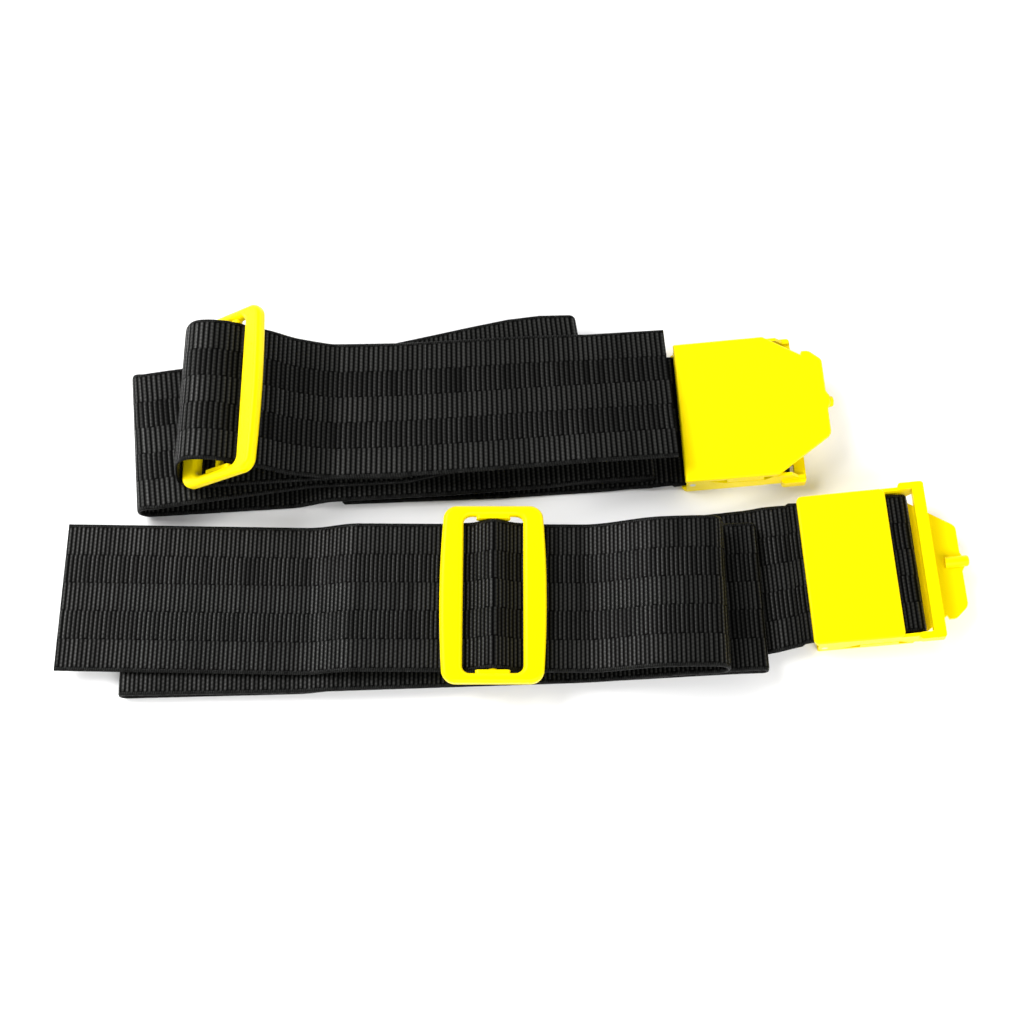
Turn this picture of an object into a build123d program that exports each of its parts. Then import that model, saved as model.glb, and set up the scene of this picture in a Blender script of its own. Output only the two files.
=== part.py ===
from build123d import *
from math import atan2, cos, degrees, pi, radians, sin
import os

# A pair of folded dive weight belts lying side by side on a table. Millimetres, +Z up, X along
# the belts, the table at z = 0. Belt A lies with its buckle lever up, belt B with it down.

# Webbing
WEB_WIDTH = 49.5
WEB_THICK = 1.3
GATHERED = 46.8
FOLD_STEPS = 8
EASE_STEPS = 5

# Buckle, in its own frame: x from the strap end to the tip, z from the back plate to the lever
FRAME_LENGTH = 41.0
PLATE_LENGTH = 28.5
PLATE_WIDTH = 50.2
PLATE_THICK = 2.0
CHEEK_THICK = 1.1
CHEEK_INNER = 24.0
CHEEK_ROUND = 2.0
CROSSBAR_DEPTH = 3.7
CROSSBAR_HEIGHT = 3.6
CROSSBAR_REACH = 26.3
LUG_START = 32.8
BUCKLE_HEIGHT = 10.0
LEVER_THICK = 1.9
LEVER_LENGTH = 50.3
LEVER_HALF = 25.1
LEVER_START = 1.2
TAPER_START = 31.5
TIP_HALF = 17.3
LOBE_HALF = 18.5
TIP_ROUND = 2.6
PIN_X = 3.4
PIN_Z = 6.0
PIN_RADIUS = 1.0
PIN_PLAY = 0.06
KNUCKLE_RADIUS = 2.3
BAR_X = 33.0
BAR_Z = 5.05
BAR_RADIUS = 1.5
STRAP_Z = 2.85
SEWN_Z = 4.25
SEWN_END = 10.0
NOSE_HALF = 3.2
NOSE_END = 51.4
PEG_RADIUS = 1.8
PEG_START = 45.0
PEG_END = 52.6
FLEX_X = -2.6
FLEX_GAP = 1.4

# Keeper, in its own frame: centred, z up through its thickness
KEEPER_WIDTH = 34.0
KEEPER_BARREL = 1.2
KEEPER_LENGTH = 58.5
KEEPER_THICK = 4.0
KEEPER_CORNER = 4.5
KEEPER_ROUND = 1.5
WINDOW_WIDTH = 19.2
WINDOW_LENGTH = 52.0
CENTRE_BAR_RADIUS = 1.3
CENTRE_BAR_Z = -0.3
HUMP_THICK = 1.0
HUMP_REACH = 13.0

# Where each belt's moving pieces sit
KEEPER_B_X = -6.0
KEEPER_B_Y = -33.1
KEEPER_B_Z = 15.3
KEEPER_A_AT = (-94.0, 31.2, 24.2)
KEEPER_A_TILT = 38.0
BUCKLE_A_AT = (55.9, 32.0, 0.0)
BUCKLE_A_YAW = 3.0
BUCKLE_A_RISE = 6.0
BUCKLE_B_AT = (94.6, -23.3, 9.9)
BUCKLE_B_YAW = 3.2
BUCKLE_B_RISE = 8.0
TAIL_YAW_A = 3.5

# The whole pair is moved by this much, so that its bounding box is centred on the origin
CENTRING = (-0.85, -2.05, 0)

# The straps: one list of knots (x, y, z) of the webbing's mid-line for each layer, from the cut
# end to the buckle. The last knot of a layer and the first of the next are joined by a fold.
TAIL_A = [(52.9, 36.9, 15.3), (26.0, 35.1, 15.3), (7.0, 34.4, 14.4)]
TAIL_A_ROLL = (6.8, 4.0)
TOP_A = [(5.6, 34.3, 14.3), (-14.0, 33.0, 13.85), (-38.0, 31.6, 13.45), (-57.0, 31.0, 13.45),
         (-71.7, 31.0, 17.5), (-79.0, 31.1, 22.0)]
LAYERS_A = [
    [(-97.2, 28.6, 12.8), (-71.0, 31.0, 11.6), (-59.0, 31.9, 11.2), (-38.0, 32.4, 11.0),
     (-12.0, 38.6, 10.9), (1.0, 41.5, 10.9), (12.0, 43.0, 10.9), (22.3, 43.3, 10.9)],
    [(22.3, 43.3, 6.6), (2.0, 41.3, 6.5), (-12.0, 38.2, 6.5), (-38.0, 32.2, 6.5), (-70.0, 30.0, 7.6),
     (-121.0, 21.2, 10.6)],
    [(-121.0, 22.5, 1.0), (-75.0, 25.6, 0.75), (-61.0, 26.6, 4.3), (-24.0, 28.6, 4.7),
     (11.0, 31.4, 4.7), (24.0, 33.2, 4.7), (44.6, 34.6, 4.7)],
    [(44.6, 34.6, 2.45), (-57.0, 29.0, 2.45)],
    [(-57.0, 27.0, 0.75), (-4.0, 29.2, 0.75), (30.0, 31.5, 0.75), (39.0, 32.4, 0.95),
     (52.4, 32.4, 2.5)],
]
TAIL_B = [(-145.3, -31.4, 6.6), (-66.2, -32.9, 7.2)]
TOP_B = [(-64.8, -33.0, 7.2), (-50.0, -32.8, 11.4), (22.0, -33.2, 11.4), (48.0, -33.6, 20.5),
         (62.5, -33.7, 21.8)]
LAYERS_B = [
    [(62.5, -33.7, 12.3), (20.0, -35.2, 5.9), (-56.0, -37.8, 5.9), (-72.0, -38.2, 4.6),
     (-123.4, -39.0, 4.6)],
    [(-123.4, -39.0, 0.75), (-70.0, -37.6, 0.75), (-54.5, -37.2, 4.15), (20.0, -34.5, 4.15),
     (78.0, -32.2, 10.5)],
    [(78.0, -32.2, 6.7), (20.0, -34.2, 2.45), (-51.5, -36.6, 2.45)],
    [(-51.5, -36.4, 0.75), (18.0, -30.9, 0.75), (78.0, -25.8, 4.2), (91.3, -24.2, 6.6)],
]


def eased(knots):
    """The points of one layer: straight in plan between knots, with smooth changes of height."""
    points = [knots[0]]
    for (x0, y0, z0), (x1, y1, z1) in zip(knots, knots[1:]):
        steps = 1 if abs(z1 - z0) < 0.3 else EASE_STEPS
        for i in range(1, steps + 1):
            t = i / steps
            rise = (3 - 2 * t) * t * t
            points.append((x0 + (x1 - x0) * t, y0 + (y1 - y0) * t, z0 + (z1 - z0) * rise))
    return points


def fold(start, end, side):
    """The points of a half-round fold from one layer's end to the next layer's start."""
    radius = (start[2] - end[2]) / 2
    middle = (start[2] + end[2]) / 2
    points = []
    for i in range(1, FOLD_STEPS):
        turn = pi * i / FOLD_STEPS
        share = i / FOLD_STEPS
        y = start[1] + (end[1] - start[1]) * share
        points.append((start[0] + side * radius * sin(turn), y, middle + radius * cos(turn)))
    return points


def route(layers):
    """The mid-line through all the layers, with a fold between each pair."""
    points = eased(layers[0])
    for upper, lower in zip(layers, layers[1:]):
        side = 1 if upper[-1][0] > upper[0][0] else -1
        points += fold(upper[-1], lower[0], side) + eased(lower)
    return points


def layer_yaw(layers, start_yaw=None, end_yaw=None):
    """The turn of the webbing in plan at each point of a route, eased to any given at its ends."""
    yaws = []
    for index, knots in enumerate(layers):
        (x0, y0), (x1, y1) = knots[0][:2], knots[-1][:2]
        yaw = degrees(atan2(y1 - y0, x1 - x0)) if x1 > x0 else degrees(atan2(y0 - y1, x0 - x1))
        if index:
            before = yaws[-1]
            yaws += [before + (yaw - before) * i / FOLD_STEPS for i in range(1, FOLD_STEPS)]
        yaws += [yaw] * len(eased(knots))
    first, last = yaws[0], yaws[-1]
    steps = min(EASE_STEPS, len(yaws) - 1)
    for i in range(steps):
        share = 1 - i / steps
        if start_yaw is not None:
            yaws[i] = first + (start_yaw - first) * share
        if end_yaw is not None:
            yaws[-1 - i] = last + (end_yaw - last) * share
    return yaws


def ribbon(at, points, yaws, thick=WEB_THICK, width=WEB_WIDTH, end_width=None, roll=(0, 0)):
    """Webbing along a mid-line given in the plane's own frame, eased to any given end width and
    rolled about its length by the angles given for its start and end."""
    with BuildPart() as web:
        for index, point in enumerate(points):
            share = index / (len(points) - 1)
            lean = radians(roll[0] + (roll[1] - roll[0]) * share)
            to_end = min(1, (len(points) - 1 - index) / EASE_STEPS)
            wide = width if end_width is None else end_width + (width - end_width) * to_end
            before = points[max(index - 1, 0)]
            after = points[min(index + 1, len(points) - 1)]
            yaw = radians(yaws[index])
            along = (after[0] - before[0]) * cos(yaw) + (after[1] - before[1]) * sin(yaw)
            heading = Vector(along * cos(yaw), along * sin(yaw), after[2] - before[2])
            across = Vector(-sin(yaw) * cos(lean), cos(yaw) * cos(lean), -sin(lean))
            section = Plane(
                origin=at.from_local_coords(Vector(*point)),
                x_dir=turned(at, across),
                z_dir=turned(at, heading.normalized()),
            )
            with BuildSketch(section):
                Rectangle(wide, thick)
        loft(ruled=True)
    return web.part


def turned(at, direction):
    """A direction given in the plane's own frame, in the model's frame."""
    return at.x_dir * direction.X + at.y_dir * direction.Y + at.z_dir * direction.Z


def side_of(at, y):
    """The plane at the given local y that shows x to the right and z up."""
    return Plane(
        origin=at.from_local_coords(Vector(0, y, 0)), x_dir=at.x_dir, z_dir=at.y_dir * -1
    )


def save(piece, node):
    piece = piece.moved(Location(CENTRING))
    piece.label = node
    export_step(piece, f"parts/{node}.step")


def buckle_frame(at):
    """The back plate, two side cheeks, the crossbar with its lugs, and holes for pin and bar."""
    with BuildPart() as frame:
        with BuildSketch(at):
            with Locations((PLATE_LENGTH / 2, 0)):
                RectangleRounded(PLATE_LENGTH, PLATE_WIDTH, 1.8)
        extrude(amount=PLATE_THICK)
        fillet(frame.faces().filter_by(at).sort_by(Axis(at.origin, at.z_dir))[0].edges(), 0.7)
        for outer in (CHEEK_INNER + CHEEK_THICK, -CHEEK_INNER):
            with BuildSketch(side_of(at, outer)):
                with BuildLine():
                    Polyline(
                        (PIN_X, PIN_Z + CHEEK_ROUND), (8.5, PIN_Z + CHEEK_ROUND), (14.0, 5.5),
                        (27.5, 5.5), (30.0, 7.7), (36.0, 7.7), (38.5, 4.6), (40.6, 4.6),
                        (40.6, 0.8), (PIN_X - CHEEK_ROUND, 0.9), (PIN_X - CHEEK_ROUND, PIN_Z),
                    )
                    RadiusArc(
                        (PIN_X - CHEEK_ROUND, PIN_Z), (PIN_X, PIN_Z + CHEEK_ROUND), CHEEK_ROUND
                    )
                make_face()
            extrude(amount=CHEEK_THICK)
        with BuildSketch(at):
            with Locations((FRAME_LENGTH - CROSSBAR_DEPTH / 2, 0)):
                RectangleRounded(CROSSBAR_DEPTH, 2 * CROSSBAR_REACH, 1.2)
            for sign in (1, -1):
                lug = CROSSBAR_REACH - CHEEK_INNER
                middle = sign * (CHEEK_INNER + lug / 2)
                with Locations(((LUG_START + FRAME_LENGTH) / 2, middle)):
                    RectangleRounded(FRAME_LENGTH - LUG_START, lug, 1.1)
        extrude(amount=CROSSBAR_HEIGHT)
        for x, z, radius in ((PIN_X, PIN_Z, PIN_RADIUS), (BAR_X, BAR_Z, BAR_RADIUS)):
            with BuildSketch(side_of(at, PLATE_WIDTH)):
                with Locations((x, z)):
                    Circle(radius)
            extrude(amount=2 * PLATE_WIDTH, mode=Mode.SUBTRACT)
    return frame.part


def buckle_lever(at):
    """The tapered lever plate with its hinge knuckle, gripping ridge, side rims and tip peg."""
    top = BUCKLE_HEIGHT
    under = BUCKLE_HEIGHT - LEVER_THICK
    knuckle_half = CHEEK_INNER - 0.3
    lobed_side = [(LEVER_START, LEVER_HALF), (TAPER_START, LEVER_HALF), (43.4, TIP_HALF),
                  (43.9, LOBE_HALF), (46.2, LOBE_HALF), (LEVER_LENGTH, 14.8)]
    nose = [(LEVER_LENGTH, NOSE_HALF), (NOSE_END, 1.2), (NOSE_END, -1.2),
            (LEVER_LENGTH, -NOSE_HALF)]
    plain_side = [(LEVER_LENGTH, -12.4), (TAPER_START, -LEVER_HALF), (LEVER_START, -LEVER_HALF)]
    with BuildPart() as lever:
        with BuildSketch(at.offset(under)) as outline:
            with BuildLine():
                Polyline(*lobed_side, *nose, *plain_side, close=True)
            make_face()
            corners = outline.vertices().filter_by(lambda v: v.X > 46 and abs(v.Y) > NOSE_HALF + 1)
            fillet(corners, TIP_ROUND)
            fillet(outline.vertices().filter_by(lambda v: v.X > NOSE_END - 0.1), 0.9)
            fillet(outline.vertices().sort_by(Axis.X)[:2], 0.5)
        extrude(amount=LEVER_THICK)
        fillet(lever.faces().filter_by(at).sort_by(Axis(at.origin, at.z_dir))[-1].edges(), 0.8)
        with BuildSketch(side_of(at, knuckle_half)):
            with Locations((PIN_X, PIN_Z)):
                Circle(KNUCKLE_RADIUS)
            with BuildLine():
                Polyline(
                    (LEVER_START + 0.1, PIN_Z), (LEVER_START + 0.1, top - 0.9), (9.0, top - 0.9),
                    (8.2, 4.9), (6.6, 4.5), (PIN_X, PIN_Z), close=True,
                )
            make_face()
        extrude(amount=2 * knuckle_half)
        for outer in (LEVER_HALF, -CHEEK_INNER - 0.1):
            with BuildSketch(side_of(at, outer)):
                with Locations((20.8, (6.0 + top - 0.9) / 2)):
                    Rectangle(12.0, top - 0.9 - 6.0)
            extrude(amount=LEVER_HALF - CHEEK_INNER - 0.1)
        with BuildSketch(Plane(origin=at.from_local_coords(Vector(PEG_START, 0, top - 2.7)),
                               x_dir=at.y_dir, z_dir=at.x_dir)):
            Circle(PEG_RADIUS)
        extrude(amount=PEG_END - PEG_START)
        fillet(lever.faces().sort_by(Axis(at.origin, at.x_dir))[-1].edges(), 0.9)
        with BuildSketch(side_of(at, PLATE_WIDTH)):
            with Locations((PIN_X, PIN_Z)):
                Circle(PIN_RADIUS + PIN_PLAY)
        extrude(amount=2 * PLATE_WIDTH, mode=Mode.SUBTRACT)
    return lever.part


def rod(at, x, z, radius, half):
    """A round rod across the buckle."""
    with BuildPart() as bar:
        with BuildSketch(side_of(at, half)):
            with Locations((x, z)):
                Circle(radius)
        extrude(amount=2 * half)
    return bar.part


def buckle_strap(at):
    """The fixed end: in past the pin, round the bar and back over itself to be sewn down."""
    turn = BAR_RADIUS + 0.05 + WEB_THICK / 2
    loop = [(BAR_X + turn * sin(pi * i / 8), 0, BAR_Z - turn * cos(pi * i / 8)) for i in range(9)]
    start = FLEX_X + FLEX_GAP / 2
    points = [(start, 0, STRAP_Z), (28.0, 0, STRAP_Z)] + loop
    points += [(30.0, 0, 6.9), (27.5, 0, 5.8), (25.0, 0, 4.7), (23.0, 0, SEWN_Z),
               (SEWN_END, 0, SEWN_Z)]
    yaws = [0] * len(points)
    return ribbon(at, points, yaws, width=GATHERED)


def stitches(at):
    """Three rows of thread on the sewn end, each a line of short stitches."""
    level = SEWN_Z + WEB_THICK / 2
    with BuildPart() as thread:
        with BuildSketch(at.offset(level)):
            with Locations((16.0, 0)):
                with GridLocations(4.0, 3.4, 3, 13):
                    RectangleRounded(0.6, 2.6, 0.25)
        extrude(amount=0.25)
    return thread.part


def keeper(at):
    """The three-bar slide: two broad side bars, two end rails and a round centre bar."""
    half_x = KEEPER_WIDTH / 2
    half_y = KEEPER_LENGTH / 2
    with BuildPart() as slide:
        with BuildSketch(at.offset(-KEEPER_THICK / 2)) as outline:
            with BuildLine():
                top = Line((-half_x + KEEPER_BARREL, half_y), (half_x - KEEPER_BARREL, half_y))
                ThreePointArc(top @ 1, (half_x, 0), (half_x - KEEPER_BARREL, -half_y))
                base = Line((half_x - KEEPER_BARREL, -half_y), (-half_x + KEEPER_BARREL, -half_y))
                ThreePointArc(base @ 1, (-half_x, 0), top @ 0)
            make_face()
            fillet(outline.vertices(), KEEPER_CORNER)
            RectangleRounded(WINDOW_WIDTH, WINDOW_LENGTH, 2.5, mode=Mode.SUBTRACT)
        extrude(amount=KEEPER_THICK)
        fillet(slide.faces().filter_by(at).edges(), KEEPER_ROUND)
        with BuildSketch(Plane(origin=at.from_local_coords(Vector(0, half_y - 2, CENTRE_BAR_Z)),
                               x_dir=at.x_dir, z_dir=at.y_dir * -1)):
            Circle(CENTRE_BAR_RADIUS)
        extrude(amount=KEEPER_LENGTH - 4)
        for end in (half_y - 2, -WEB_WIDTH / 2 - 0.25):
            with BuildSketch(side_of(at, end)):
                with Locations((0, -0.3)):
                    RectangleRounded(11.0, KEEPER_THICK - 1.0, 1.2)
            extrude(amount=half_y - 2 - WEB_WIDTH / 2 - 0.25)
    return slide.part


def keeper_hump(at):
    """Belt B's webbing where it rises over the keeper's centre bar, lying flat on the strap."""
    low = -KEEPER_THICK / 2 - 0.08 - HUMP_THICK / 2
    turn = CENTRE_BAR_RADIUS + 0.1 + HUMP_THICK / 2
    rise = [(-HUMP_REACH, low), (-9.0, low), (-6.6, low + 0.5), (-4.2, low + 1.9),
            (-turn * sin(radians(50)), CENTRE_BAR_Z + turn * cos(radians(50))),
            (-turn * sin(radians(25)), CENTRE_BAR_Z + turn * cos(radians(25)))]
    crest = [(0, CENTRE_BAR_Z + turn)]
    points = rise + crest + [(-x, z) for x, z in reversed(rise)]
    points = [(x, 0, z) for x, z in points]
    yaws = [0] * len(points)
    return ribbon(at, points, yaws, HUMP_THICK)


# Belt A's webbing at its keeper: (x, y, z) of its mid-line from the keeper's middle
LOOP_A = [(14.2, 0, -1.8), (10.5, 0, 0.3), (7.6, 0, 1.6), (4.7, 0, 3.6), (0.5, 0, 5.7),
          (-4.0, 0, 6.6), (-8.5, 0, 6.5), (-11.2, 0, 4.8), (-13.3, 0, 1.2), (-14.2, -0.4, -3.5),
          (-14.7, -0.9, -7.0), (-15.0, -1.4, -10.3), (-14.5, -1.8, -11.7), (-13.0, -2.0, -12.2),
          (-10.5, -2.2, -12.4), (-7.0, -2.4, -12.0), (-4.8, -2.5, -11.6)]


def keeper_loop(at):
    """Belt A's webbing over the centre bar, round the low side bar and back underneath."""
    return ribbon(at, LOOP_A, [0] * len(LOOP_A))


def buckle_plane(at, yaw, rise, up):
    """A buckle's plane: turned in plan, its tip end raised, its lever side up or down."""
    turn, tilt = radians(yaw), radians(rise)
    plan = (cos(turn), sin(turn))
    return Plane(
        origin=at,
        x_dir=(cos(tilt) * plan[0], cos(tilt) * plan[1], sin(tilt)),
        z_dir=(-up * sin(tilt) * plan[0], -up * sin(tilt) * plan[1], up * cos(tilt)),
    )


buckle_a = buckle_plane(BUCKLE_A_AT, BUCKLE_A_YAW, BUCKLE_A_RISE, 1)
buckle_b = buckle_plane(BUCKLE_B_AT, BUCKLE_B_YAW, BUCKLE_B_RISE, -1)
keeper_a_plane = Plane(
    origin=KEEPER_A_AT,
    x_dir=(cos(radians(KEEPER_A_TILT)), 0, sin(radians(KEEPER_A_TILT))),
    z_dir=(-sin(radians(KEEPER_A_TILT)), 0, cos(radians(KEEPER_A_TILT))),
)
keeper_b_plane = Plane(origin=(KEEPER_B_X, KEEPER_B_Y, KEEPER_B_Z))

os.makedirs("parts", exist_ok=True)

for belt, at in (("belt_a", buckle_a), ("belt_b", buckle_b)):
    save(buckle_frame(at), f"{belt}_buckle_frame")
    save(buckle_lever(at), f"{belt}_buckle_lever")
    save(rod(at, PIN_X, PIN_Z, PIN_RADIUS, CHEEK_INNER + CHEEK_THICK), f"{belt}_hinge_pin")
    save(rod(at, BAR_X, BAR_Z, BAR_RADIUS, CHEEK_INNER + CHEEK_THICK), f"{belt}_strap_bar")
    save(buckle_strap(at), f"{belt}_sewn_end")
    save(stitches(at), f"{belt}_stitching")

save(keeper(keeper_a_plane), "belt_a_keeper")
save(keeper_loop(Plane(origin=KEEPER_A_AT)), "belt_a_keeper_webbing")
save(keeper(keeper_b_plane), "belt_b_keeper")
save(keeper_hump(keeper_b_plane), "belt_b_keeper_webbing")

for node, layers, yaw, end_width, roll in (
    ("belt_a_tail", [TAIL_A], (None, TAIL_YAW_A), None, TAIL_A_ROLL),
    ("belt_a_top_layer", [TOP_A], (TAIL_YAW_A, 0), None, (TAIL_A_ROLL[1], 0)),
    ("belt_a_folded_strap", LAYERS_A, (0, BUCKLE_A_YAW), GATHERED, (0, 0)),
    ("belt_b_tail", [TAIL_B], (0, 0), None, (0, 0)),
    ("belt_b_folded_strap", [TOP_B] + LAYERS_B, (0, BUCKLE_B_YAW), GATHERED, (0, 0)),
):
    line = route(layers)
    save(ribbon(Plane.XY, line, layer_yaw(layers, *yaw), end_width=end_width, roll=roll), node)
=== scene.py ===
"""Two dive weight belts folded side by side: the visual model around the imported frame."""

import math

import bpy
import numpy as np
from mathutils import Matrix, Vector


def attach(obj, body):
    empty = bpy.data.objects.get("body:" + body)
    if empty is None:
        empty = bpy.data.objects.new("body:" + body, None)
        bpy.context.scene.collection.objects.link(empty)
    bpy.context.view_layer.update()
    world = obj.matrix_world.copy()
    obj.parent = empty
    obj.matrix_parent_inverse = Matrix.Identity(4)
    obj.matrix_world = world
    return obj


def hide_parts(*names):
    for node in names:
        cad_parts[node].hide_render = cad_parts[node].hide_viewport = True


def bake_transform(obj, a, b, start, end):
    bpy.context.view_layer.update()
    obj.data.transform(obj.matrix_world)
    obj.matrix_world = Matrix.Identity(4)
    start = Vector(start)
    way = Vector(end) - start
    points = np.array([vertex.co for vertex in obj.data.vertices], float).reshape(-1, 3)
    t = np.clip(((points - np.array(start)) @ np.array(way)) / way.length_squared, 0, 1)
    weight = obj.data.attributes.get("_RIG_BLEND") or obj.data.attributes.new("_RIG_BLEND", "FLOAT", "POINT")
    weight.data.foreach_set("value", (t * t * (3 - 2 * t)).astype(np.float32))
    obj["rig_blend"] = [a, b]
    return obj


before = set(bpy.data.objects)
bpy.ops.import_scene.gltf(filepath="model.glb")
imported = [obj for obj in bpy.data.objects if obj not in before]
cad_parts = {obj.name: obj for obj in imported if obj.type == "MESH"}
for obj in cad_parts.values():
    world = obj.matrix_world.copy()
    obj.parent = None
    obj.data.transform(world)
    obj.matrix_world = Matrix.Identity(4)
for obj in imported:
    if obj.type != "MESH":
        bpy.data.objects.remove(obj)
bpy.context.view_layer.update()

MM = 0.001

# Lengths are in millimetres and angles in degrees up to the meshes themselves.
# Webbing and its place in the CAD model, before the CAD model is centred
WEB_WIDTH = 49.5
GATHERED = 46.8
WEB_THICK = 1.3
HUMP_THICK = 1.0
CENTRING = (-0.85, -2.05, 0)

# Buckle, in its own frame: the strap, its sewn end and the bar they go round
STRAP_Z = 2.85
SEWN_Z = 4.25
SEWN_END = 10.0
STRAP_END = 28.0
SEWN_SLOPE = [(30.0, 6.9), (27.5, 5.8), (25.0, 4.7), (23.0, SEWN_Z)]
BAR_X = 33.0
BAR_Z = 5.05
BAR_RADIUS = 1.5
BAR_GAP = 0.05
FLEX_X = -2.6
BUCKLE_A_AT = (55.9, 32.0, 0.0)
BUCKLE_A_YAW = 3.0
BUCKLE_A_RISE = 6.0
BUCKLE_B_AT = (94.6, -23.3, 9.9)
BUCKLE_B_YAW = 3.2
BUCKLE_B_RISE = 8.0

# Keepers
KEEPER_THICK = 4.0
CENTRE_BAR_RADIUS = 1.3
CENTRE_BAR_Z = -0.3
KEEPER_A_AT = (-94.0, 31.2, 24.2)
KEEPER_B_AT = (-6.0, -33.1, 15.3)
HUMP_GAP = 0.08
HUMP_BAR_GAP = 0.1

# The straps: knots (x, y, z) of the webbing's mid-line for each layer, from cut end to buckle
TAIL_YAW_A = 3.5
TOP_A = [
    (52.9, 36.9, 15.3), (26.0, 35.1, 15.3), (6.0, 34.3, 14.35), (-14.0, 33.0, 13.85),
    (-38.0, 31.6, 13.45), (-57.0, 31.0, 13.45), (-71.7, 31.0, 17.5), (-79.0, 31.1, 22.0),
]
LAYERS_A = [
    [(-97.2, 28.6, 12.8), (-71.0, 31.0, 11.6), (-59.0, 31.9, 11.2), (-38.0, 32.4, 11.0),
     (-12.0, 38.6, 10.9), (1.0, 41.5, 10.9), (12.0, 43.0, 10.9), (22.3, 43.3, 10.9)],
    [(22.3, 43.3, 6.6), (2.0, 41.3, 6.5), (-12.0, 38.2, 6.5), (-38.0, 32.2, 6.5),
     (-70.0, 30.0, 7.6), (-121.0, 21.2, 10.6)],
    [(-121.0, 22.5, 1.0), (-75.0, 25.6, 0.75), (-61.0, 26.6, 4.3), (-24.0, 28.6, 4.7),
     (11.0, 31.4, 4.7), (24.0, 33.2, 4.7), (44.6, 34.6, 4.7)],
    [(44.6, 34.6, 2.45), (-57.0, 29.0, 2.45)],
    [(-57.0, 27.0, 0.75), (-4.0, 29.2, 0.75), (30.0, 31.5, 0.75), (39.0, 32.4, 0.95),
     (52.4, 32.4, 2.5)],
]
TOP_B = [
    (-145.3, -31.4, 6.6), (-66.2, -32.9, 7.2), (-50.0, -32.8, 11.4), (22.0, -33.2, 11.4),
    (48.0, -33.6, 20.5), (62.5, -33.7, 21.8),
]
LAYERS_B = [
    [(62.5, -33.7, 12.3), (20.0, -35.2, 5.9), (-56.0, -37.8, 5.9), (-72.0, -38.2, 4.6),
     (-123.4, -39.0, 4.6)],
    [(-123.4, -39.0, 0.75), (-70.0, -37.6, 0.75), (-54.5, -37.2, 4.15), (20.0, -34.5, 4.15),
     (78.0, -32.2, 10.5)],
    [(78.0, -32.2, 6.7), (20.0, -34.2, 2.45), (-51.5, -36.6, 2.45)],
    [(-51.5, -36.4, 0.75), (18.0, -30.9, 0.75), (78.0, -25.8, 4.2), (91.3, -24.2, 6.6)],
]

# Belt A's webbing at its keeper, from the keeper's middle, and its roll along the top layer
LOOP_A = [
    (14.2, 0, -1.8), (10.5, 0, 0.3), (7.6, 0, 1.6), (4.7, 0, 3.6), (0.5, 0, 5.7),
    (-4.0, 0, 6.6), (-8.5, 0, 6.5), (-11.2, 0, 4.8), (-13.3, 0, 1.2), (-14.2, -0.4, -3.5),
    (-14.7, -0.9, -7.0), (-15.0, -1.4, -10.3), (-14.5, -1.8, -11.7), (-13.0, -2.0, -12.2),
    (-10.5, -2.2, -12.4), (-7.0, -2.4, -12.0), (-4.8, -2.5, -11.6),
]
ROLL_A_AT = (-79, -57, -14, 6, 26)
ROLL_A = (0, 1.9, 3.0, 4.0, 6.8)

# Where one length of each strap ends and the next begins
SEAM_A_X = -30.0
STACK_A_X = -50.0
LEAD_A_X = 44.0
SEAM_B_X = -11.0
LEAD_B_X = 74.0

# How finely the mid-lines are drawn, and how gently the webbing turns and gathers
FINE_STEP = 0.25
MIN_GAP = 0.02
GATHER_POINTS = 61
TANGENT_REACH = 0.3

# Weave: rib spacing, and how far the painted sheen of alternate bands lifts or lowers them from the mean;
# belt A's bands get more painted sheen than belt B's
WEAVE_A = {"pitch": 1.66, "painted_band_sheen": 0.2}
WEAVE_B = {"pitch": 1.41, "painted_band_sheen": 0.1}
BANDS = 5
BAND_SHARES = (0.035, 0.28, 0.5, 0.72, 0.965)
BAND_GROOVE = 0.1
RIB_DEPTH = 0.17
RIB_CREST = 0.7
RIB_ROUNDNESS = 1.3
SELVEDGE = 1.3
SELVEDGE_INSET = 0.12
SELVEDGE_CREST = 0.45
SELVEDGE_FOOT = 0.25
SELVEDGE_DROP = 0.34
SELVEDGE_BEAD = 0.07
UNEVENNESS = 0.12
NOISE_SEED = 3
NOISE_ROWS = 20000

# Colours and the studio
# Webbing colour runs from painted shade in the grooves to a painted highlight on the rib crests
WEBBING_GROOVE_SHADE = (0.0004, 0.0004, 0.0004)
WEBBING_CREST_HIGHLIGHT = (0.0155, 0.016, 0.0142)
BEAD_WIDTH = 1.3
YELLOW = (0.97, 0.76, 0.0)
YELLOW_SHADE = 0.93
YELLOW_GLOSS = (1.0, 0.95, 0.12)
STEEL_COLOUR = (0.62, 0.62, 0.60)
THREAD_DARK = (0.006, 0.006, 0.006)
THREAD_LIGHT = (0.05, 0.05, 0.048)
FLOOR_COLOUR = (0.95, 0.95, 0.95)
FLOOR_REACH = 3.0
FLOOR_DROP = 0.0002
KEY_LIGHT = {"location": (-0.5, 0.2, 0.62), "target": (-0.1, 0, 0), "size": (0.5, 0.5),
             "energy": 7.5}
FRONT_LIGHT = {"location": (0.3, -0.9, 0.8), "target": (0, 0, 0), "size": (1.1, 0.6),
               "energy": 11}
SKY_FADE = {"From Min": 0.55, "From Max": 0.95, "To Min": 1.1, "To Max": 0.12}
LENS = 52.5
SENSOR = 36.0
CAMERA_AT = (0, -170.7, 468.9)
CAMERA_TILT = 20


# ---------------------------------------------------------------- paths


def arc_lengths(points):
    """The distance along a polyline at each of its points."""
    gaps = np.linalg.norm(np.diff(points, axis=0), axis=1)
    return np.concatenate([[0], np.cumsum(gaps)])


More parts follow.
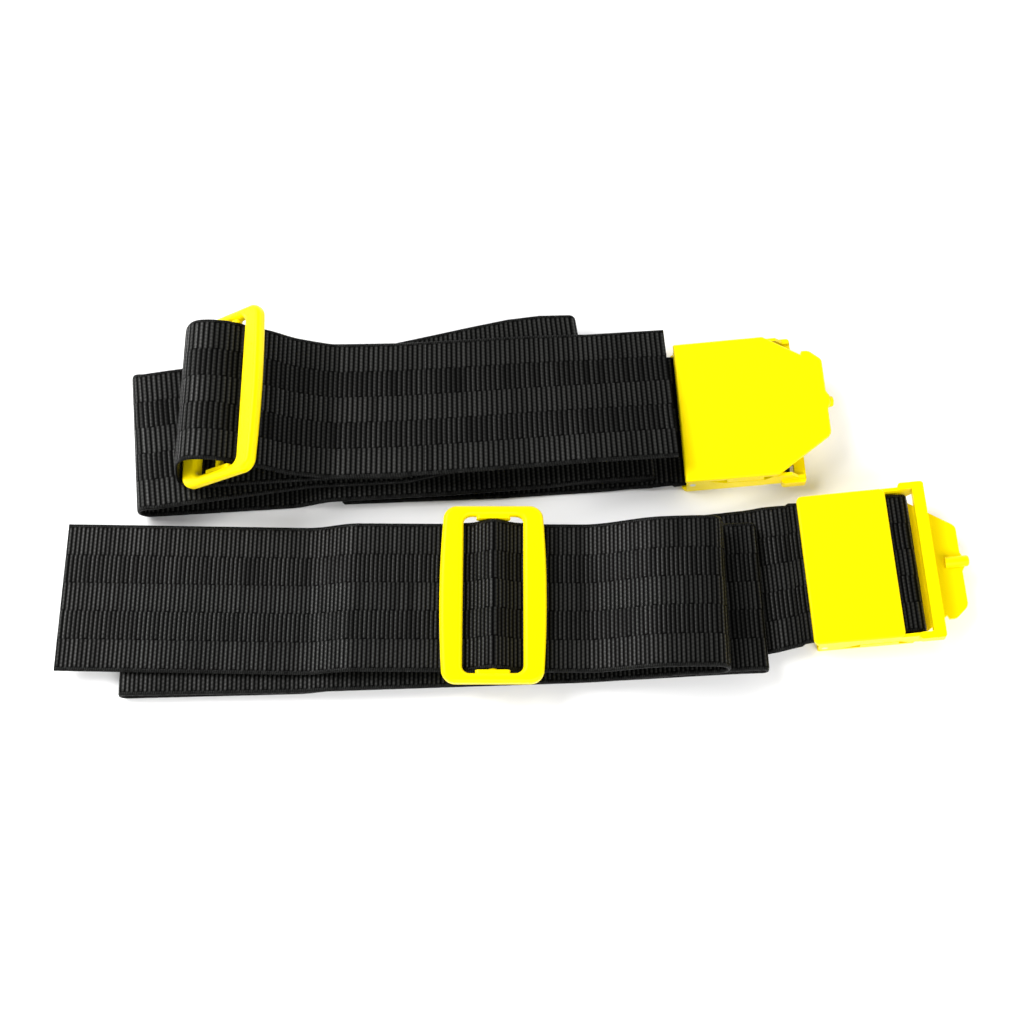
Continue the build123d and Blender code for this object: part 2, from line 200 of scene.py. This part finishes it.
def smooth_layer(knots, flat_start, flat_end):
    """Points through one layer's knots, with smooth changes of height and no overshoot."""
    p = np.array(knots, float)
    chord = np.hypot(*np.diff(p[:, :2], axis=0).T)
    along = np.concatenate([[0], np.cumsum(chord)])
    fine = np.linspace(0, along[-1], max(2, int(along[-1] / FINE_STEP)) + 1)
    x = np.interp(fine, along, p[:, 0])
    y = np.interp(fine, along, p[:, 1])
    slope = np.diff(p[:, 2]) / chord
    m = np.zeros(len(p))
    for i in range(1, len(p) - 1):
        if slope[i - 1] * slope[i] > 0:
            m[i] = 2 * slope[i - 1] * slope[i] / (slope[i - 1] + slope[i])
    m[0] = 0 if flat_start else slope[0]
    m[-1] = 0 if flat_end else slope[-1]
    i = np.clip(np.searchsorted(along, fine, side="right") - 1, 0, len(chord) - 1)
    h = chord[i]
    t = (fine - along[i]) / h
    z = (
        (2 * t**3 - 3 * t**2 + 1) * p[i, 2]
        + (t**3 - 2 * t**2 + t) * h * m[i]
        + (3 * t**2 - 2 * t**3) * p[i + 1, 2]
        + (t**3 - t**2) * h * m[i + 1]
    )
    return np.stack([x, y, z], axis=1)


def half_turn(start, end, side):
    """The half-round fold between one layer's end and the next one's start."""
    radius = (start[2] - end[2]) / 2
    count = max(6, int(math.pi * radius / FINE_STEP))
    turn = np.linspace(0, math.pi, count + 1)[1:-1]
    return np.stack([
        start[0] + side * radius * np.sin(turn),
        start[1] + (end[1] - start[1]) * turn / math.pi,
        end[2] + radius + radius * np.cos(turn),
    ], axis=1)


def plan_yaw(knots):
    """The heading of a layer in plan, taken so that it points towards +X."""
    (x0, y0), (x1, y1) = knots[0][:2], knots[-1][:2]
    sign = 1 if x1 > x0 else -1
    return math.degrees(math.atan2(sign * (y1 - y0), sign * (x1 - x0)))


class Path:
    """A mid-line with the webbing's turn, roll and width at each point, built up in pieces."""

    def __init__(self):
        self.points = np.zeros((0, 3))
        self.yaws = np.zeros(0)
        self.rolls = np.zeros(0)
        self.widths = np.zeros(0)

    def add(self, points, first, last=None, width=WEB_WIDTH):
        """Add points whose yaw goes from first to last."""
        points = np.asarray(points, float)
        last = first if last is None else last
        share = arc_lengths(points)
        share = share / share[-1]
        self.points = np.vstack([self.points, points])
        self.yaws = np.concatenate([self.yaws, first + (last - first) * share])
        self.rolls = np.concatenate([self.rolls, np.zeros(len(points))])
        self.widths = np.concatenate([self.widths, np.full(len(points), width)])

    def layers(self, layers, first_yaw, last_yaw, flat_first=True, flat_last=True):
        """Add layers one after another, with a fold between each and the next."""
        yaws = [plan_yaw(knots) for knots in layers]
        starts = [first_yaw] + yaws[1:]
        ends = yaws[:-1] + [last_yaw]
        for i, knots in enumerate(layers):
            if i:
                before = layers[i - 1]
                side = 1 if before[-1][0] > before[0][0] else -1
                self.add(half_turn(before[-1], knots[0], side), self.yaws[-1], starts[i])
            flat_start = i > 0 or flat_first
            flat_end = i < len(layers) - 1 or flat_last
            self.add(smooth_layer(knots, flat_start, flat_end), starts[i], ends[i])

    def sampled(self):
        """Arc length and, along it, points, yaws, rolls and widths, without repeated points."""
        gaps = np.linalg.norm(np.diff(self.points, axis=0), axis=1)
        keep = np.concatenate([[True], gaps > MIN_GAP])
        p = self.points[keep] + np.array(CENTRING)
        padded = np.pad(self.widths[keep], GATHER_POINTS // 2, mode="edge")
        ease = np.full(GATHER_POINTS, 1 / GATHER_POINTS)
        widths = np.convolve(padded, ease, mode="valid")
        return arc_lengths(p), p, self.yaws[keep], self.rolls[keep], widths


def placed(local, origin, x_dir, z_dir):
    """Points (x, z) of a buckle's or keeper's own frame, at mid-width, in the model's frame."""
    origin, x_dir, z_dir = (np.array(v, float) for v in (origin, x_dir, z_dir))
    return np.array([origin + x * x_dir + z * z_dir for x, z in local])


def round_corners(points, passes):
    """A polyline resampled evenly and relaxed, so that it bends like cloth."""
    p = np.array(points, float)
    s = arc_lengths(p)
    fine = np.linspace(0, s[-1], int(s[-1] / FINE_STEP) + 1)
    q = np.stack([np.interp(fine, s, p[:, k]) for k in range(3)], axis=1)
    for _ in range(passes):
        q[1:-1] = q[1:-1] * 0.5 + (q[:-2] + q[2:]) * 0.25
    return q


def sewn_loop():
    """The fixed end in the buckle's own frame: round the strap bar and back over itself."""
    turn = BAR_RADIUS + BAR_GAP + WEB_THICK / 2
    loop = [(BAR_X + turn * math.sin(a), BAR_Z - turn * math.cos(a))
            for a in np.linspace(0, math.pi, 25)]
    return [(FLEX_X, STRAP_Z), (STRAP_END, STRAP_Z)] + loop + SEWN_SLOPE + [(SEWN_END, SEWN_Z)]


def buckle_dirs(yaw, rise, up):
    """A buckle's own x and z directions: turned in plan, tip end raised, lever up or down."""
    turn, tilt = math.radians(yaw), math.radians(rise)
    plan = (math.cos(turn), math.sin(turn))
    x_dir = (math.cos(tilt) * plan[0], math.cos(tilt) * plan[1], math.sin(tilt))
    z_dir = (-up * math.sin(tilt) * plan[0], -up * math.sin(tilt) * plan[1], up * math.cos(tilt))
    return x_dir, z_dir


def hump_knots():
    """Belt B's webbing where it rises over its keeper's centre bar, in the keeper's frame."""
    low = -KEEPER_THICK / 2 - HUMP_GAP - HUMP_THICK / 2
    turn = CENTRE_BAR_RADIUS + HUMP_BAR_GAP + HUMP_THICK / 2
    rise = [(-13.0, low), (-9.0, low), (-6.6, low + 0.5), (-4.2, low + 1.9)]
    rise += [(-turn * math.sin(a), CENTRE_BAR_Z + turn * math.cos(a))
             for a in np.radians([50, 38, 25, 12])]
    return rise + [(0, CENTRE_BAR_Z + turn)] + [(-x, z) for x, z in reversed(rise)]


belt_b = Path()
belt_b.layers([TOP_B] + LAYERS_B, 0, BUCKLE_B_YAW, flat_first=False)
end_b = placed(sewn_loop(), BUCKLE_B_AT, *buckle_dirs(BUCKLE_B_YAW, BUCKLE_B_RISE, -1))
belt_b.add(round_corners(end_b, 6), BUCKLE_B_YAW, width=GATHERED)

belt_a = Path()
belt_a.layers([TOP_A], TAIL_YAW_A, 0, flat_first=False, flat_last=False)
belt_a.rolls = np.interp(belt_a.points[:, 0], ROLL_A_AT, ROLL_A)
belt_a.add(round_corners(np.array(LOOP_A) + KEEPER_A_AT, 30), 0)
belt_a.layers(LAYERS_A, 0, BUCKLE_A_YAW)
end_a = placed(sewn_loop(), BUCKLE_A_AT, *buckle_dirs(BUCKLE_A_YAW, BUCKLE_A_RISE, 1))
belt_a.add(round_corners(end_a, 6), BUCKLE_A_YAW, width=GATHERED)

over_bar = Path()
over_bar.add(round_corners(placed(hump_knots(), KEEPER_B_AT, (1, 0, 0), (0, 0, 1)), 5), 0)


# ---------------------------------------------------------------- webbing meshes


def section_columns():
    """Places across the webbing, with the band each is in and how near it is to an edge.

    Bands -1 and BANDS are the selvedges.
    """
    half = WEB_WIDTH / 2
    inner = half - SELVEDGE
    band = 2 * inner / BANDS
    selvedge = [(half - SELVEDGE_INSET, 1.0), (half - SELVEDGE_CREST, 0.6),
                (inner + SELVEDGE_FOOT, 0.0)]
    columns = [(-u, -1, edge) for u, edge in selvedge]
    for i in range(BANDS):
        left = -inner + i * band
        columns.append((left, i, 1.0))
        columns += [(left + share * band, i, 0.0) for share in BAND_SHARES]
    columns.append((inner, BANDS - 1, 1.0))
    return columns + [(u, BANDS, edge) for u, edge in reversed(selvedge)]


COLUMNS = section_columns()


def rib_height(phase, crest):
    """One rib's profile from groove to groove, highest at the crest's share of the way."""
    up = np.clip(phase / crest, 0, 1)
    down = np.clip((1 - phase) / (1 - crest), 0, 1)
    x = np.where(phase < crest, up, down)
    return np.sin(x * math.pi / 2) ** RIB_ROUNDNESS


def surface(rib, wobble, side, band, edge, half_thick):
    """How far one lengthwise line stands off the mid-line, and its relief from 0 to 1, which the material
    paints from shade in the grooves to highlight on the crests.
    """
    if band in (-1, BANDS):
        bead = 0.5 + 0.5 * np.cos(2 * math.pi * (rib * 2 + 0.25 * edge))
        lift = half_thick - SELVEDGE_INSET - SELVEDGE_DROP * edge**2 + SELVEDGE_BEAD * bead
        # The selvedge's relief, higher on each bead, becomes a painted highlight on the beads
        return lift, 0.45 + 0.4 * bead
    leans_on = (band % 2 == 0) == (side > 0)
    height = rib_height(rib % 1.0, RIB_CREST if leans_on else 1 - RIB_CREST)
    lift = half_thick - RIB_DEPTH * (1 - height) * (1 + UNEVENNESS * wobble)
    # Band edges sink into a groove whose relief is lowered, so that it is painted darker: painted shade
    if edge:
        tick = (np.floor(rib).astype(int) + 2 * band) % 4 == 0
        lift = lift - BAND_GROOVE * np.where(tick, 1.0, 0.35)
        height = height * np.where(tick, 0.2, 0.8)
    return lift, height


def rows_of(path, along):
    """Middles, directions across with the width's share, and normals at given arc lengths."""
    s, p, yaw, roll, width = path

    def point(where):
        return np.stack([np.interp(where, s, p[:, k]) for k in range(3)], axis=1)

    tangent = point(along + TANGENT_REACH) - point(along - TANGENT_REACH)
    turn = np.radians(np.interp(along, s, yaw))
    tilt = np.radians(np.interp(along, s, roll))
    level = np.cos(tilt)
    across = np.stack([-np.sin(turn) * level, np.cos(turn) * level, -np.sin(tilt)], axis=1)
    normal = np.cross(tangent, across)
    normal /= np.linalg.norm(normal, axis=1)[:, None]
    widen = (np.interp(along, s, width) / WEB_WIDTH)[:, None]
    return point(along), across * widen, normal


def tube_faces(count, ring):
    """Quads of a flat tube of count rings with ring points each, closed at both ends."""
    i = np.arange(count - 1)[:, None] * ring
    j = np.arange(ring)[None, :]
    k = (j + 1) % ring
    quads = np.stack([i + j, i + k, i + ring + k, i + ring + j], axis=2).reshape(-1, 4)
    a = np.arange(ring // 2 - 1)
    near = np.stack([a, ring - 1 - a, ring - 2 - a, a + 1], axis=1)
    far = near[:, ::-1] + (count - 1) * ring
    return np.vstack([quads, near, far])


def quad_object(name, coords, faces):
    """An object in the scene, smooth-shaded, from arrays of points and of quads."""
    mesh = bpy.data.meshes.new(name)
    mesh.vertices.add(len(coords))
    mesh.vertices.foreach_set("co", coords.ravel())
    mesh.loops.add(faces.size)
    mesh.loops.foreach_set("vertex_index", faces.ravel().astype(np.int32))
    mesh.polygons.add(len(faces))
    mesh.polygons.foreach_set("loop_start", np.arange(0, faces.size, 4, dtype=np.int32))
    mesh.polygons.foreach_set("loop_total", np.full(len(faces), 4, np.int32))
    mesh.update(calc_edges=True)
    mesh.validate()
    mesh.shade_smooth()
    obj = bpy.data.objects.new(name, mesh)
    bpy.context.collection.objects.link(obj)
    return obj


def strip(name, path, start, end, pitch, painted_band_sheen, rows_per_rib=5, thick=WEB_THICK):
    """One closed length of ribbed webbing between two arc lengths, and its length in metres.

    Attribute weave holds the place across, the rib number and the relief, which the material paints as shade
    and highlight; shade holds random unevenness plus a painted sheen on alternate bands.
    """
    first = round(start / pitch * rows_per_rib)
    last = round(end / pitch * rows_per_rib)
    index = np.arange(first, last + 1)
    rib = index / rows_per_rib
    s = path[0]
    along = np.clip(index * pitch / rows_per_rib, s[0], s[-1])
    middles, across, normal = rows_of(path, along)
    noise = np.random.default_rng(NOISE_SEED).normal(size=(NOISE_ROWS, BANDS + 2))
    noise = noise[np.floor(rib).astype(int) % NOISE_ROWS]

    coords, weave, shade = [], [], []
    for side in (1, -1):
        for u, band, edge in COLUMNS[::side]:
            wobble = noise[:, band + 1]
            lift, relief = surface(rib, wobble, side, band, edge, thick / 2)
            coords.append(middles + across * u + normal * (side * lift)[:, None])
            weave.append(np.stack([np.full(len(rib), u), rib, relief], axis=1))
            # The shade attribute: random unevenness per rib, plus a painted sheen that lightens bands 0, 2
            # and 4 and darkens bands 1 and 3
            shade.append(0.5 + UNEVENNESS * wobble + (painted_band_sheen if band % 2 == 0 else -painted_band_sheen))
    coords, weave, shade = (np.stack(columns, axis=1) for columns in (coords, weave, shade))

    obj = quad_object(name, coords.reshape(-1, 3) * MM, tube_faces(len(rib), 2 * len(COLUMNS)))
    attributes = obj.data.attributes
    attributes.new("weave", "FLOAT_VECTOR", "POINT").data.foreach_set("vector", weave.ravel())
    attributes.new("shade", "FLOAT", "POINT").data.foreach_set("value", shade.ravel())
    return obj, (last - first) * pitch / rows_per_rib * MM


def arc_at(path, x, which=0):
    """Arc length where the path crosses a given x for the nth time."""
    s, p = path[:2]
    crossings = np.nonzero((p[:-1, 0] - x) * (p[1:, 0] - x) <= 0)[0]
    return float(s[crossings[which]])


# ---------------------------------------------------------------- materials


class Nodes:
    """A node tree with short ways to add the few kinds of node used here."""

    def __init__(self, tree):
        self.nodes = tree.nodes
        self.links = tree.links

    def feed(self, socket, value):
        """Set an input, or link it when the value is another node's output."""
        if isinstance(value, bpy.types.NodeSocket):
            self.links.new(value, socket)
        else:
            socket.default_value = value

    def add(self, kind, **inputs):
        """A new node, with inputs by name."""
        node = self.nodes.new(kind)
        for name, value in inputs.items():
            self.feed(node.inputs[name], value)
        return node

    def math(self, operation, *values, clamp=False):
        node = self.nodes.new("ShaderNodeMath")
        node.operation = operation
        node.use_clamp = clamp
        for socket, value in zip(node.inputs, values):
            self.feed(socket, value)
        return node.outputs[0]

    def attribute(self, name, output):
        node = self.nodes.new("ShaderNodeAttribute")
        node.attribute_name = name
        return node.outputs[output]

    def object_place(self):
        return self.nodes.new("ShaderNodeTexCoord").outputs["Object"]

    def noise(self, vector, scale=1.0, detail=2.0):
        node = self.add("ShaderNodeTexNoise", Vector=vector, Scale=scale, Detail=detail)
        return node.outputs[0]

    def ramp(self, value, low, high, span=(0.0, 1.0)):
        node = self.add("ShaderNodeValToRGB", Fac=value)
        for element, colour, position in zip(node.color_ramp.elements, (low, high), span):
            element.color = (*colour, 1)
            element.position = position
        return node.outputs[0]

    def bump(self, height, strength, distance):
        node = self.add("ShaderNodeBump", Height=height, Strength=strength, Distance=distance)
        return node.outputs[0]


def new_material(name):
    """A new material, its nodes, and a function that feeds its principled shader by name."""
    material = bpy.data.materials.new(name)
    material.use_nodes = True
    tree = Nodes(material.node_tree)
    shader = material.node_tree.nodes["Principled BSDF"]

    def look(name, value):
        tree.feed(shader.inputs[name], value)

    return material, tree, look


def webbing_material(name):
    """Near-black woven webbing: painted highlight on rib crests and bead tops, painted shade in the grooves,
    painted sheen on alternate bands, and random patches of lighter and darker.
    """
    material, tree, look = new_material(name)
    do = tree.math
    split = tree.add("ShaderNodeSeparateXYZ", Vector=tree.attribute("weave", "Vector"))
    u, rib, relief = split.outputs
    unevenness_and_band_sheen = tree.attribute("shade", "Fac")

    stagger = do("MULTIPLY", do("FLOOR", rib), 0.5)
    turns = do("ADD", do("MULTIPLY", u, 1 / BEAD_WIDTH), stagger)
    bead = do("MULTIPLY_ADD", do("COSINE", do("MULTIPLY", turns, 2 * math.pi)), 0.5, 0.5)
    close = tree.add("ShaderNodeCombineXYZ", X=do("MULTIPLY", u, 7.0), Y=do("MULTIPLY", rib, 1.2))
    fibre = tree.noise(close.outputs[0], detail=3.0)
    wide = tree.add("ShaderNodeCombineXYZ", X=do("MULTIPLY", u, 0.05),
                    Y=do("MULTIPLY", rib, 0.045))
    patch = tree.noise(wide.outputs[0])

    # Painted light: the colour darkens into the grooves and between beads (painted shade) and lightens on
    # crests and bead tops (painted highlight); fibre and patch noise are real unevenness
    level = do("MULTIPLY", do("MULTIPLY_ADD", bead, 0.42, 0.58), do("POWER", relief, 2.6))
    level = do("MULTIPLY", level, do("MULTIPLY_ADD", fibre, 0.7, 0.65))
    # Painted band sheen and random unevenness, from the shade attribute
    level = do("MULTIPLY", level, do("MULTIPLY_ADD", unevenness_and_band_sheen, 1.2, 0.4))
    level = do("MULTIPLY", level, do("MULTIPLY_ADD", patch, 0.5, 0.75), clamp=True)
    height = do("ADD", do("MULTIPLY", bead, 0.8), do("MULTIPLY", fibre, 0.45))
    look("Base Color", tree.ramp(level, WEBBING_GROOVE_SHADE, WEBBING_CREST_HIGHLIGHT))
    look("Roughness", do("MULTIPLY_ADD", level, -0.1, 0.48))
    # Less specular in the grooves: painted shade in the gloss
    look("Specular IOR Level", do("MULTIPLY_ADD", level, 0.3, 0.015))
    look("Normal", tree.bump(height, 0.5, 0.00012))
    return material


def moulded_material(name, colour, roughness, grain):
    """Injection-moulded plastic: even colour with faint flow, fine surface grain, soft gloss."""
    material, tree, look = new_material(name)
    flow = tree.noise(tree.object_place(), 45.0, 3.0)
    fine = tree.noise(tree.object_place(), 1500.0)
    shade = [c * YELLOW_SHADE for c in colour]
    look("Base Color", tree.ramp(flow, shade, colour, span=(0.3, 0.65)))
    look("Roughness", tree.math("MULTIPLY_ADD", fine, 0.16, roughness - 0.08))
    look("Normal", tree.bump(fine, grain, 0.00004))
    look("Specular IOR Level", 0.4)
    look("Specular Tint", (*YELLOW_GLOSS, 1))
    return material


def steel_material(name):
    """Satin steel, brushed along the pin."""
    material, tree, look = new_material(name)
    stretched = tree.add("ShaderNodeMapping", Vector=tree.object_place(), Scale=(900, 60, 900))
    look("Metallic", 1.0)
    look("Base Color", (*STEEL_COLOUR, 1))
    look("Roughness", tree.math("MULTIPLY_ADD", tree.noise(stretched.outputs[0]), 0.25, 0.2))
    return material


def thread_material(name):
    """Black sewing thread with its twist."""
    material, tree, look = new_material(name)
    twist = tree.add("ShaderNodeTexWave", Vector=tree.object_place(), Scale=900.0, Distortion=1.0)
    look("Base Color", tree.ramp(twist.outputs["Fac"], THREAD_DARK, THREAD_LIGHT))
    look("Roughness", 0.55)
    look("Normal", tree.bump(twist.outputs["Fac"], 0.5, 0.0001))
    return material


WEBBING = webbing_material("webbing")
BUCKLE_PLASTIC = moulded_material("buckle_plastic", YELLOW, 0.36, 0.18)
KEEPER_PLASTIC = moulded_material("keeper_plastic", YELLOW, 0.3, 0.12)
STEEL = steel_material("pin_steel")
THREAD = thread_material("thread")


# ---------------------------------------------------------------- pieces


def at(x, y, z):
    """A point given in the CAD model's millimetres before centring, in metres."""
    return ((x + CENTRING[0]) * MM, (y + CENTRING[1]) * MM, z * MM)


def strap(name, path, start, end, kind, nodes, held, **shape):
    """One length of webbing that stands for the given CAD nodes, which it hides."""
    obj, length = strip(name, path, start, end, **kind, **shape)
    obj.data.materials.append(WEBBING)
    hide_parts(*nodes)
    return obj


path_b = belt_b.sampled()
seam_b = arc_at(path_b, SEAM_B_X)
lead_b_from = arc_at(path_b, LEAD_B_X, -1)
free_b = strap("belt_b_free_end", path_b, 0, seam_b, WEAVE_B, ["belt_b_tail"], "laid")
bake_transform(free_b, "belt_b_tail", "belt_b_strap", at(-72, -33, 7), at(-58, -33, 9))
stack_b = strap("belt_b_stack", path_b, seam_b, lead_b_from, WEAVE_B,
                ["belt_b_folded_strap"], "folded", rows_per_rib=4)
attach(stack_b, "belt_b_strap")
lead_b = strap("belt_b_lead", path_b, lead_b_from, path_b[0][-1], WEAVE_B,
               ["belt_b_sewn_end"], "folded", rows_per_rib=4)
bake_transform(lead_b, "belt_b_strap", "belt_b_buckle", at(88.5, -23.7, 6.4), at(95.5, -23.3, 7.3))

path_a = belt_a.sampled()
seam_a = arc_at(path_a, SEAM_A_X)
stack_a_from = arc_at(path_a, STACK_A_X, 1)
lead_a_from = arc_at(path_a, LEAD_A_X, -1)
free_a = strap("belt_a_free_end", path_a, 0, seam_a, WEAVE_A, ["belt_a_tail"], "laid")
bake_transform(free_a, "belt_a_tail", "belt_a_strap", at(12, 34.6, 14.5), at(0, 34, 14.2))
turn_a = strap("belt_a_keeper_turn", path_a, seam_a, stack_a_from, WEAVE_A,
               ["belt_a_keeper_webbing", "belt_a_top_layer"], "folded")
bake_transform(turn_a, "belt_a_strap", "belt_a_keeper", at(-62, 31, 15), at(-84, 31, 24))
stack_a = strap("belt_a_stack", path_a, stack_a_from, lead_a_from, WEAVE_A,
                ["belt_a_folded_strap"], "folded", rows_per_rib=4)
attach(stack_a, "belt_a_strap")
lead_a = strap("belt_a_lead", path_a, lead_a_from, path_a[0][-1], WEAVE_A,
               ["belt_a_sewn_end"], "folded", rows_per_rib=4)
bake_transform(lead_a, "belt_a_strap", "belt_a_buckle", at(50, 32, 2.3), at(57, 32, 3.1))

hump_line = over_bar.sampled()
hump = strap("belt_b_hump", hump_line, 0, hump_line[0][-1], WEAVE_B,
             ["belt_b_keeper_webbing"], "laid", thick=HUMP_THICK)
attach(hump, "belt_b_keeper")

for belt in ("belt_a", "belt_b"):
    for node, material in (
        ("buckle_frame", BUCKLE_PLASTIC),
        ("buckle_lever", BUCKLE_PLASTIC),
        ("keeper", KEEPER_PLASTIC),
        ("strap_bar", BUCKLE_PLASTIC),
        ("hinge_pin", STEEL),
        ("stitching", THREAD),
    ):
        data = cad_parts[f"{belt}_{node}"].data
        data.materials.clear()
        data.materials.append(material)


# ---------------------------------------------------------------- studio


def floor():
    """A pale matt floor just under the belts."""
    mesh = bpy.data.meshes.new("floor")
    r = FLOOR_REACH
    mesh.from_pydata([(-r, -r, 0), (r, -r, 0), (r, r, 0), (-r, r, 0)], [], [(0, 1, 2, 3)])
    obj = bpy.data.objects.new("floor", mesh)
    obj.location.z = -FLOOR_DROP
    bpy.context.collection.objects.link(obj)
    material, _, look = new_material("floor")
    look("Base Color", (*FLOOR_COLOUR, 1))
    look("Roughness", 0.8)
    mesh.materials.append(material)


def area_light(name, location, target, size, energy):
    data = bpy.data.lights.new(name, "AREA")
    data.shape = "RECTANGLE"
    data.size, data.size_y = size
    data.energy = energy
    obj = bpy.data.objects.new(name, data)
    obj.location = location
    direction = Vector(target) - Vector(location)
    obj.rotation_euler = direction.to_track_quat("-Z", "Y").to_euler()
    bpy.context.collection.objects.link(obj)


def sky():
    """An even white sky that darkens towards the zenith, for the webbing's deep black."""
    world = bpy.data.worlds.new("studio")
    bpy.context.scene.world = world
    world.use_nodes = True
    tree = Nodes(world.node_tree)
    around = tree.add("ShaderNodeTexCoord").outputs["Generated"]
    split = tree.add("ShaderNodeSeparateXYZ", Vector=around)
    fade = tree.add("ShaderNodeMapRange", Value=split.outputs["Z"], **SKY_FADE)
    background = world.node_tree.nodes["Background"]
    tree.feed(background.inputs["Color"], (1, 1, 1, 1))
    tree.feed(background.inputs["Strength"], fade.outputs[0])


def camera():
    data = bpy.data.cameras.new("camera")
    data.lens = LENS
    data.sensor_width = SENSOR
    obj = bpy.data.objects.new("camera", data)
    obj.location = at(*CAMERA_AT)
    obj.rotation_euler = (math.radians(CAMERA_TILT), 0, 0)
    bpy.context.collection.objects.link(obj)
    bpy.context.scene.camera = obj


floor()
area_light("key", **KEY_LIGHT)
area_light("front", **FRONT_LIGHT)
sky()
camera()
bpy.context.scene.view_settings.view_transform = "Standard"
